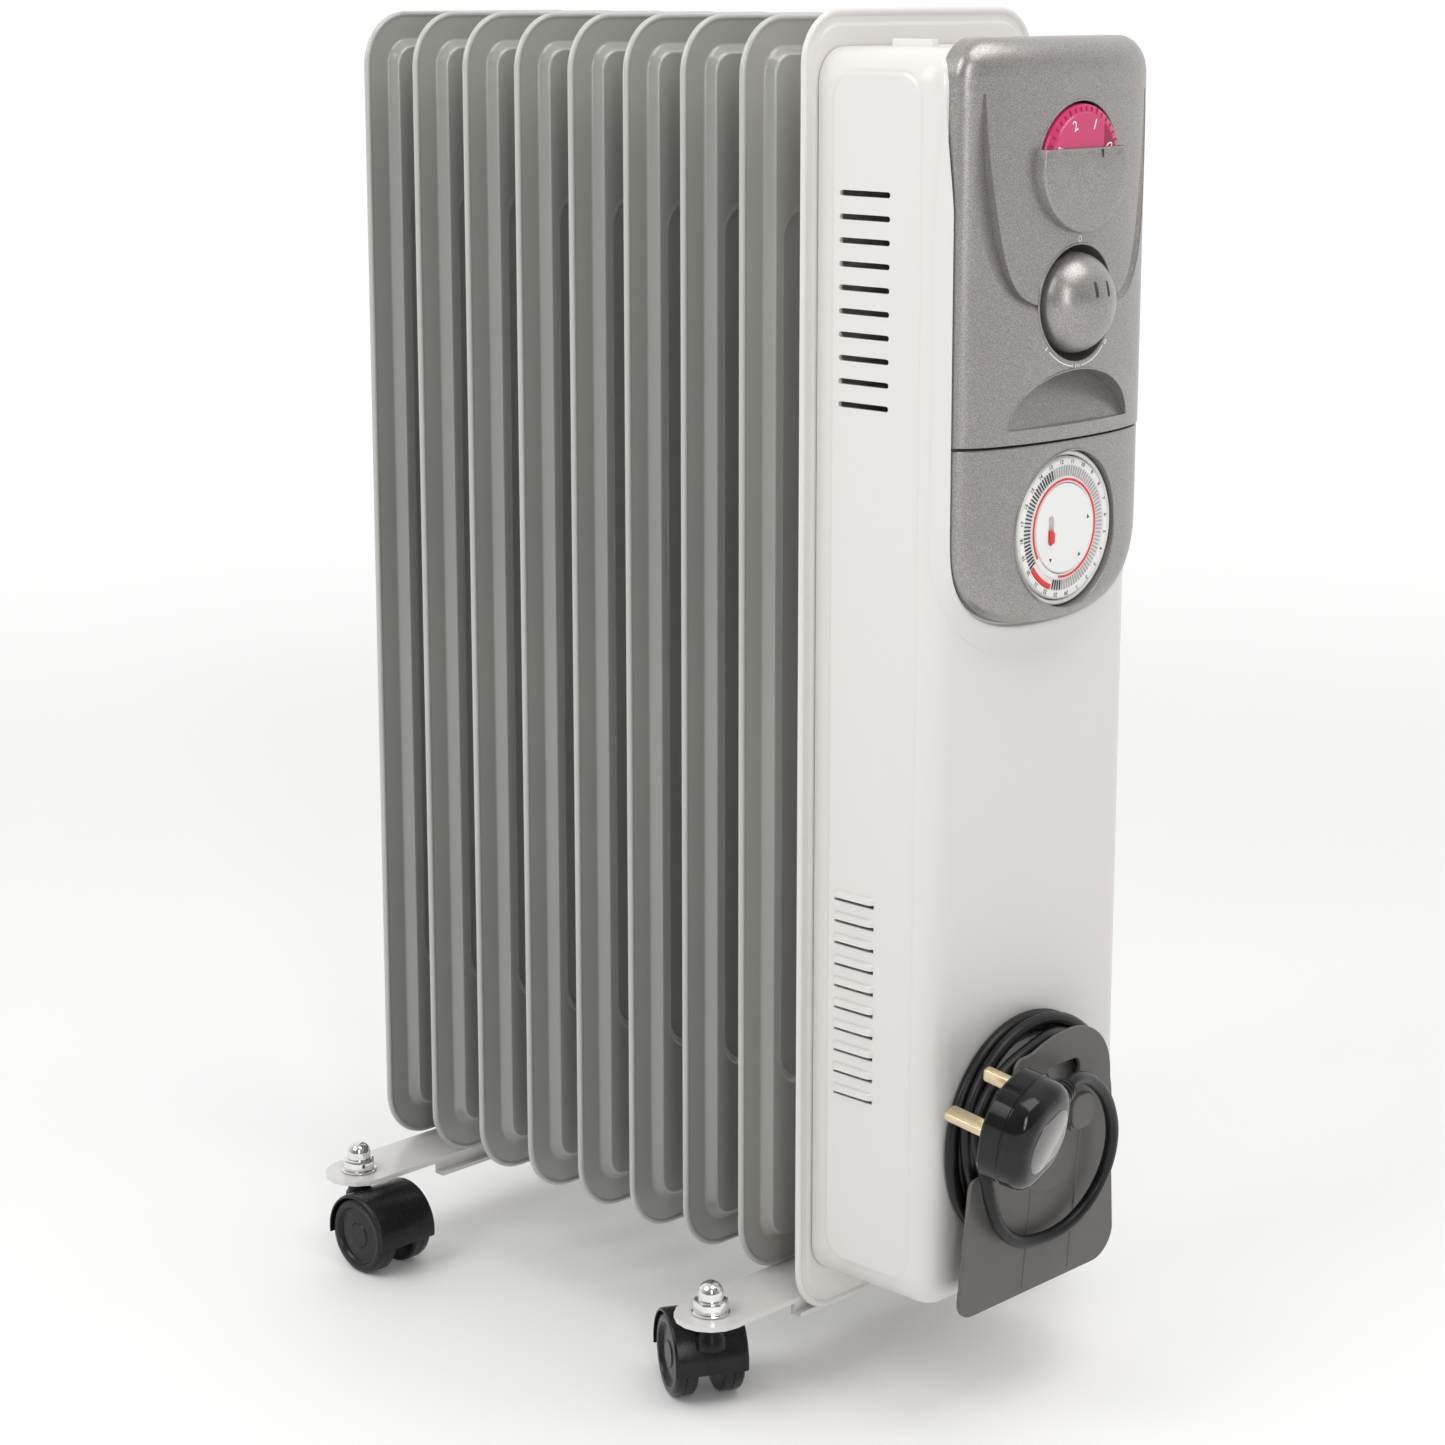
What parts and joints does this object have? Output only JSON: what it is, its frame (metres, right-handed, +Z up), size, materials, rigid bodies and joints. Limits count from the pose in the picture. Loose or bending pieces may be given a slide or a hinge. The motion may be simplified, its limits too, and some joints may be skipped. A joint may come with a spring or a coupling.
{
  "type": "oil filled radiator heater",
  "caption": "Portable finned column heater on twin-wheel casters, with a thermostat dial, selector knob, segment timer and wound mains cord.",
  "frame": {"origin": "on the floor under the middle of the heater, its cord and plug left out", "axes": "+Z up, -Y towards the control panel, +Y along the stack of fins away from it, X across the fins"},
  "size_m": [0.2734, 0.4466, 0.6505],
  "materials": {
    "fin_paint": "glossy warm grey stove enamel",
    "white_paint": "semi-gloss off-white enamel",
    "white_plastic": "fine textured white",
    "panel_plastic": "silver-grey with a fine metallic fleck",
    "holder_plastic": "dark grey, fine texture",
    "dial_plastic": "magenta",
    "red_plastic": "smooth",
    "caster_plastic": "black, slightly scuffed",
    "plug_plastic": "black, polished",
    "cord_jacket": "black, satin",
    "pin_brass": "bright",
    "chrome": "polished",
    "zinc_steel": "zinc plated",
    "element_sheath": "dull",
    "brown_moulding": "thermoset moulding"
  },
  "bodies": {
    "heater": {"cap_nut_front_left": "chrome", "cap_nut_front_right": "chrome", "cap_nut_rear_left": "chrome", "cap_nut_rear_right": "chrome", "control_box": "white_paint", "cord_coil": "cord_jacket", "cord_gland": "plug_plastic", "cord_holder": "holder_plastic", "cord_lead": "cord_jacket", "element_plug": "zinc_steel", "end_plate": "white_paint", "fin_1": "fin_paint", "fin_2": "fin_paint", "fin_3": "fin_paint", "fin_4": "fin_paint", "fin_5": "fin_paint", "fin_6": "fin_paint", "fin_7": "fin_paint", "fin_8": "fin_paint", "foot_front": "white_paint", "foot_rear": "white_paint", "heating_element_large": "element_sheath", "heating_element_small": "element_sheath", "plug_body": "plug_plastic", "plug_pin_earth": "pin_brass", "plug_pin_live": "pin_brass", "plug_pin_neutral": "pin_brass", "selector_switch": "caster_plastic", "terminal_block": "white_plastic", "thermal_cutout": "brown_moulding", "thermostat_body": "brown_moulding", "timer_body": "white_plastic", "timer_disc": "white_plastic", "timer_panel": "panel_plastic", "tip_over_switch": "caster_plastic", "top_grille": "white_plastic", "u_bolt_front": "zinc_steel", "u_bolt_rear": "zinc_steel", "upper_panel": "panel_plastic", "wing_nut_front_left": "zinc_steel", "wing_nut_front_right": "zinc_steel", "wing_nut_rear_left": "zinc_steel", "wing_nut_rear_right": "zinc_steel"},
    "thermostat_dial": {"thermostat_dial": "dial_plastic"},
    "selector_knob": {"selector_knob": "panel_plastic"},
    "timer_ring": {"timer_ring": "white_plastic"},
    "timer_override": {"timer_override": "red_plastic"},
    "caster_front_left": {"caster_hood_front_left": "caster_plastic"},
    "wheel_front_left_a": {"wheel_front_left_a": "caster_plastic"},
    "wheel_front_left_b": {"wheel_front_left_b": "caster_plastic"},
    "caster_front_right": {"caster_hood_front_right": "caster_plastic"},
    "wheel_front_right_a": {"wheel_front_right_a": "caster_plastic"},
    "wheel_front_right_b": {"wheel_front_right_b": "caster_plastic"},
    "caster_rear_left": {"caster_hood_rear_left": "caster_plastic"},
    "wheel_rear_left_a": {"wheel_rear_left_a": "caster_plastic"},
    "wheel_rear_left_b": {"wheel_rear_left_b": "caster_plastic"},
    "caster_rear_right": {"caster_hood_rear_right": "caster_plastic"},
    "wheel_rear_right_a": {"wheel_rear_right_a": "caster_plastic"},
    "wheel_rear_right_b": {"wheel_rear_right_b": "caster_plastic"}
  },
  "joints": [
    {"name": "thermostat_turn", "type": "hinge", "parent": "heater", "child": "thermostat_dial", "pos_m": [0, -0.1736, 0.5835], "axis": [0, 1, 0], "range_deg": [0, 270]},
    {"name": "selector_turn", "type": "hinge", "parent": "heater", "child": "selector_knob", "pos_m": [0, -0.1736, 0.5227], "axis": [0, 1, 0], "range_deg": [0, 225]},
    {"name": "timer_turn", "type": "hinge", "parent": "heater", "child": "timer_ring", "pos_m": [0, -0.1736, 0.421], "axis": [0, 1, 0], "continuous": true},
    {"name": "timer_override_slide", "type": "slide", "parent": "heater", "child": "timer_override", "axis": [0, 0, 1], "range_m": [0, 0.006]},
    {"name": "swivel_front_left", "type": "hinge", "parent": "heater", "child": "caster_front_left", "pos_m": [-0.116, -0.07735, 0.02], "axis": [0, 0, 1], "continuous": true},
    {"name": "roll_front_left_a", "type": "hinge", "parent": "caster_front_left", "child": "wheel_front_left_a", "pos_m": [-0.107, -0.06176, 0.02], "axis": [-0.866, 0.5, 0], "continuous": true},
    {"name": "roll_front_left_b", "type": "hinge", "parent": "caster_front_left", "child": "wheel_front_left_b", "pos_m": [-0.107, -0.06176, 0.02], "axis": [-0.866, 0.5, 0], "continuous": true},
    {"name": "swivel_front_right", "type": "hinge", "parent": "heater", "child": "caster_front_right", "pos_m": [0.116, -0.07735, 0.02], "axis": [0, 0, 1], "continuous": true},
    {"name": "roll_front_right_a", "type": "hinge", "parent": "caster_front_right", "child": "wheel_front_right_a", "pos_m": [0.1185, -0.05953, 0.02], "axis": [-0.9903, 0.1392, 0], "continuous": true},
    {"name": "roll_front_right_b", "type": "hinge", "parent": "caster_front_right", "child": "wheel_front_right_b", "pos_m": [0.1185, -0.05953, 0.02], "axis": [-0.9903, 0.1392, 0], "continuous": true},
    {"name": "swivel_rear_left", "type": "hinge", "parent": "heater", "child": "caster_rear_left", "pos_m": [-0.116, 0.18265, 0.02], "axis": [0, 0, 1], "continuous": true},
    {"name": "roll_rear_left_a", "type": "hinge", "parent": "caster_rear_left", "child": "wheel_rear_left_a", "pos_m": [-0.116, 0.16465, 0.02], "axis": [1, 0, 0], "continuous": true},
    {"name": "roll_rear_left_b", "type": "hinge", "parent": "caster_rear_left", "child": "wheel_rear_left_b", "pos_m": [-0.116, 0.16465, 0.02], "axis": [1, 0, 0], "continuous": true},
    {"name": "swivel_rear_right", "type": "hinge", "parent": "heater", "child": "caster_rear_right", "pos_m": [0.116, 0.18265, 0.02], "axis": [0, 0, 1], "continuous": true},
    {"name": "roll_rear_right_a", "type": "hinge", "parent": "caster_rear_right", "child": "wheel_rear_right_a", "pos_m": [0.11164, 0.16518, 0.02], "axis": [0.9703, -0.2419, 0], "continuous": true},
    {"name": "roll_rear_right_b", "type": "hinge", "parent": "caster_rear_right", "child": "wheel_rear_right_b", "pos_m": [0.11164, 0.16518, 0.02], "axis": [0.9703, -0.2419, 0], "continuous": true}
  ]
}
